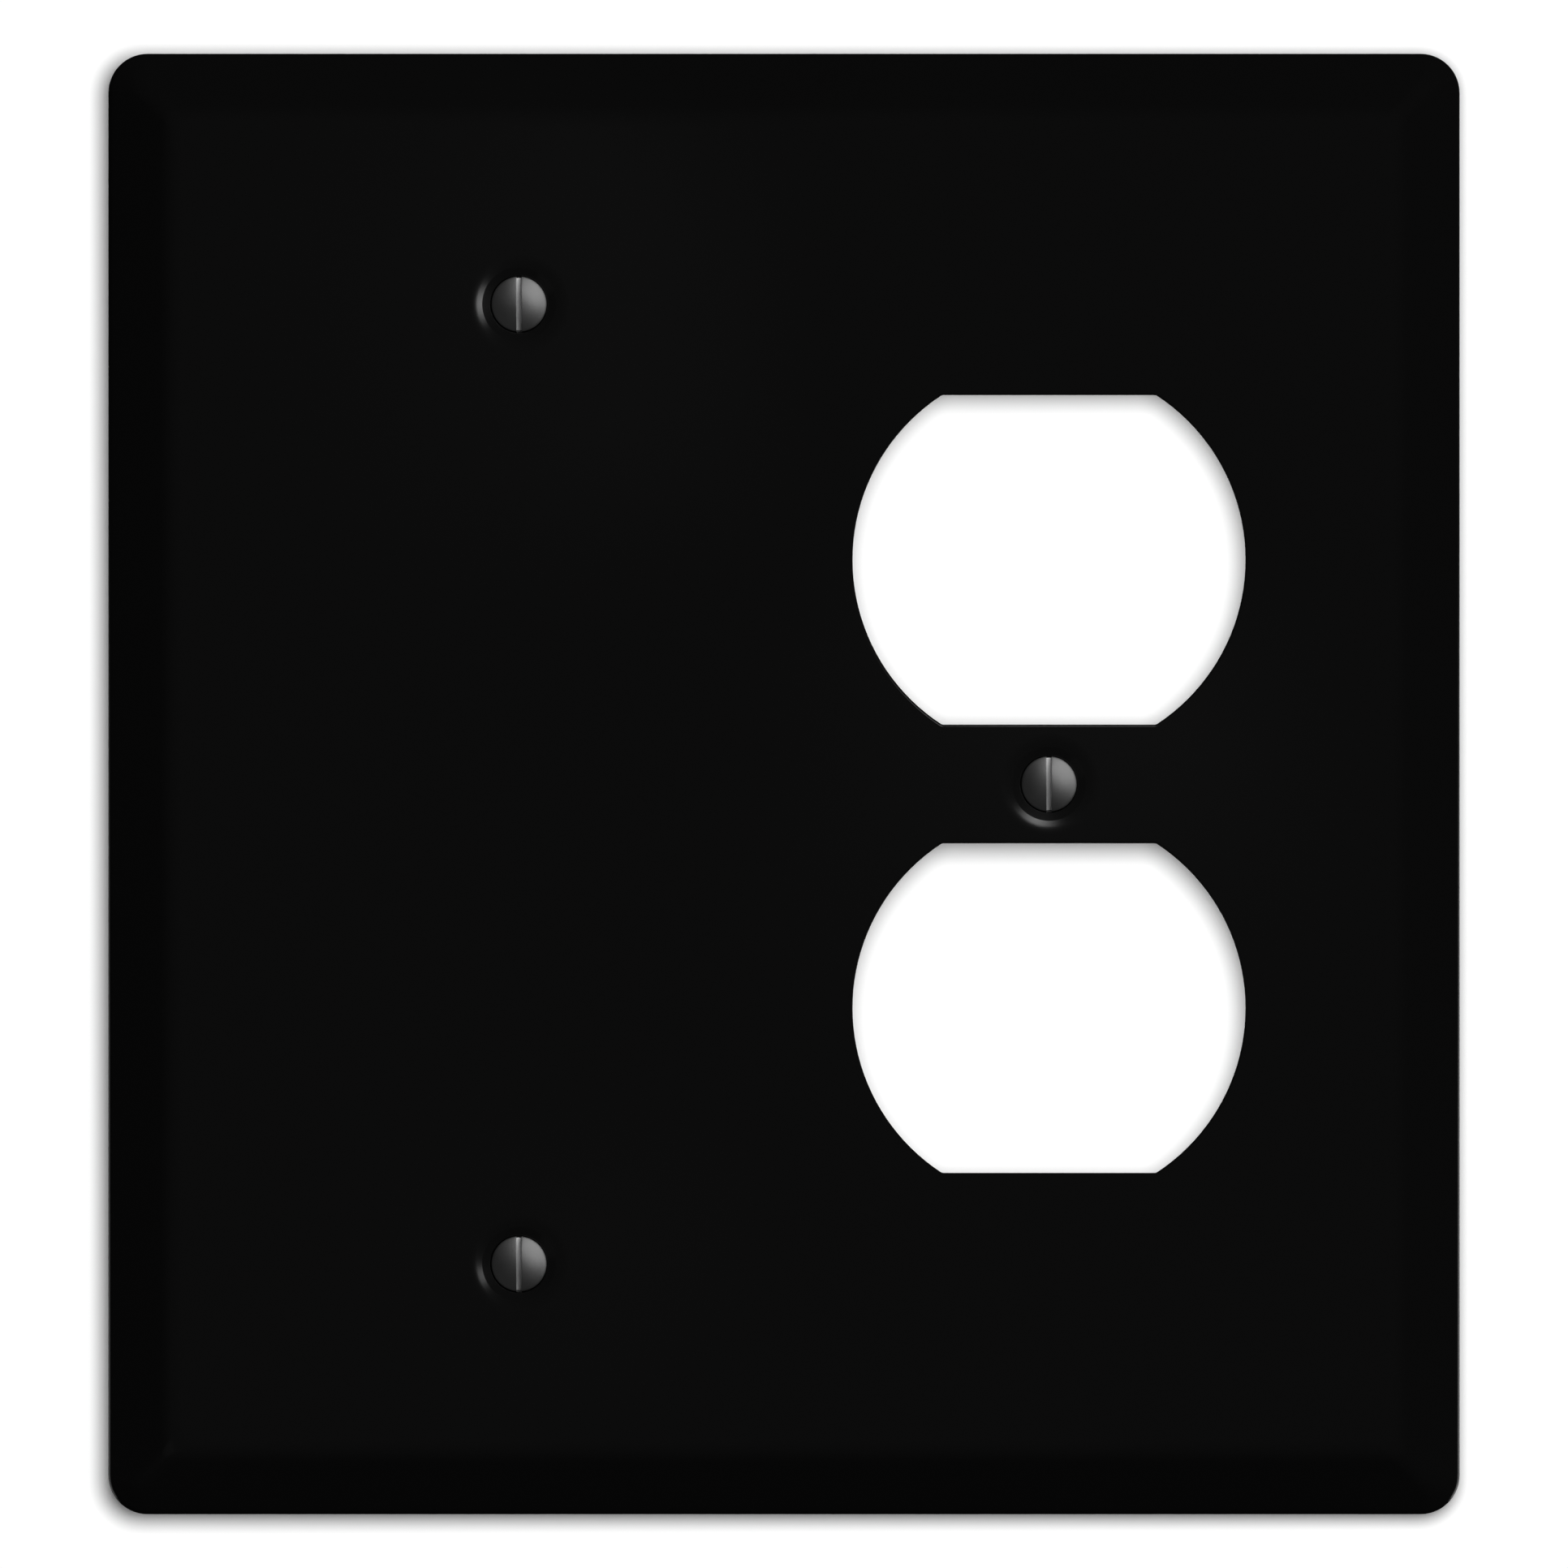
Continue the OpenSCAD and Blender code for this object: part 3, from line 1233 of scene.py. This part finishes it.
    def lamps(self, dips: Sequence[Point]) -> list[Lamp]:
        """Lists the lamps that light the plate and its screws.

        Args:
            dips: The middles of the dimples: the upper and the lower box screw's, then the receptacle's.

        Returns:
            The lamps.
        """
        upper, lower, middle = dips
        near, grid = self.glint_distance, self.glint_spread
        return [
            Lamp("screw_key", LitBy.SCREWS, 45, 45, 30, 28, 8.0),
            Lamp("screw_right", LitBy.SCREWS, -4, 62, 12, 14, 4.0),
            Lamp("screw_top", LitBy.SCREWS, 94, 60, 10, 14, 2.0),
            Lamp("screw_low_left", LitBy.SCREWS, 225, 62, 35, 14, 0.25),
            Lamp("screw_side", LitBy.SCREWS, 0, 100, 14, 10, 3.0),
            Lamp("screw_back_left", LitBy.SCREWS, 200, 125, 25, 20, 6.0),
            Lamp("screw_back_right", LitBy.SCREWS, -20, 125, 20, 20, 4.0),
            Lamp("low_left", LitBy.PLATE, 213, 50, 14, 14, 0.03),
            Lamp("behind_right", LitBy.PLATE, -21, 133, 14, 14, 0.8),
            Lamp("behind_left", LitBy.PLATE, 201, 133, 14, 14, 0.35),
            Lamp("upper_glint", LitBy.PLATE, 1, 33, 16, 8, 6.0, near, upper, grid),
            Lamp("lower_glint", LitBy.PLATE, 16, 33, 6, 8, 3.2, near, lower, grid),
            Lamp("middle_glint", LitBy.PLATE, 70, 33, 15, 8, 6.0, near, middle, grid),
        ]

    def set_up(
        self, plate: bpy.types.Object, screws: Sequence[bpy.types.Object], dips: Sequence[Point]
    ) -> None:
        """Builds the whole studio.

        Args:
            plate: The plate's piece.
            screws: The screws' pieces.
            dips: The middles of the plate's dimples, in the order that lamps() takes.
        """
        self.camera()
        self.world()
        self.group(LitBy.PLATE, [plate])
        self.group(LitBy.SCREWS, screws)
        self.group(LitBy.BACKDROP, [self.backdrop()])
        self.backdrop_lamp()
        for lamp in self.lamps(dips):
            lamp.make(self.groups[lamp.lights])
        bpy.context.scene.view_settings.view_transform = "Standard"


def mount_place(name: str) -> Pair:
    """Gives the place of one of the record's mounts on the plate.

    Args:
        name: The mount's name.

    Returns:
        Its X and Z.

    Raises:
        KeyError: The record has no mount of that name.
    """
    for mount in frame["record"]["mounts"]:
        if mount["name"] == name:
            return (mount["pos_m"][0], mount["pos_m"][2])
    raise KeyError(name)


def main() -> None:
    """Builds the plate, its screws and the studio, in that order."""
    logging.basicConfig(level=logging.INFO, format="%(message)s")
    screws = [
        OvalHeadScrew("box_screw_upper"),
        OvalHeadScrew("box_screw_lower"),
        OvalHeadScrew("receptacle_screw"),
    ]
    plate = WallPlate(
        node="plate",
        openings=[
            Opening(mount_place("receptacle_opening_upper")),
            Opening(mount_place("receptacle_opening_lower")),
        ],
        dimples=[Dimple(screw.centre) for screw in screws],
    )
    plate_piece = plate.make(BakedEnamel())
    dulled = ZincPlating(
        name="dulled_zinc_thread",
        dark=(0.08, 0.08, 0.083),
        light=(0.14, 0.14, 0.143),
        gloss=(0.3, 0.46),
    )
    finishes = {
        Coat.HEAD: HeadPaint().material(),
        Coat.SLOT_WALL: ZincPlating().material(),
        Coat.SLOT_FLOOR: WornSteel().material(),
        Coat.SHANK: dulled.material(),
    }
    screw_pieces = [screw.make(finishes) for screw in screws]
    for piece in [plate_piece, *screw_pieces]:
        log.info("%s: %d faces", piece.name, len(piece.data.polygons))
    dips = [(dimple.centre[0], -plate.depth, dimple.centre[1]) for dimple in plate.dimples]
    Studio(plate.height).set_up(plate_piece, screw_pieces, dips)


if __name__ == "__main__":
    main()
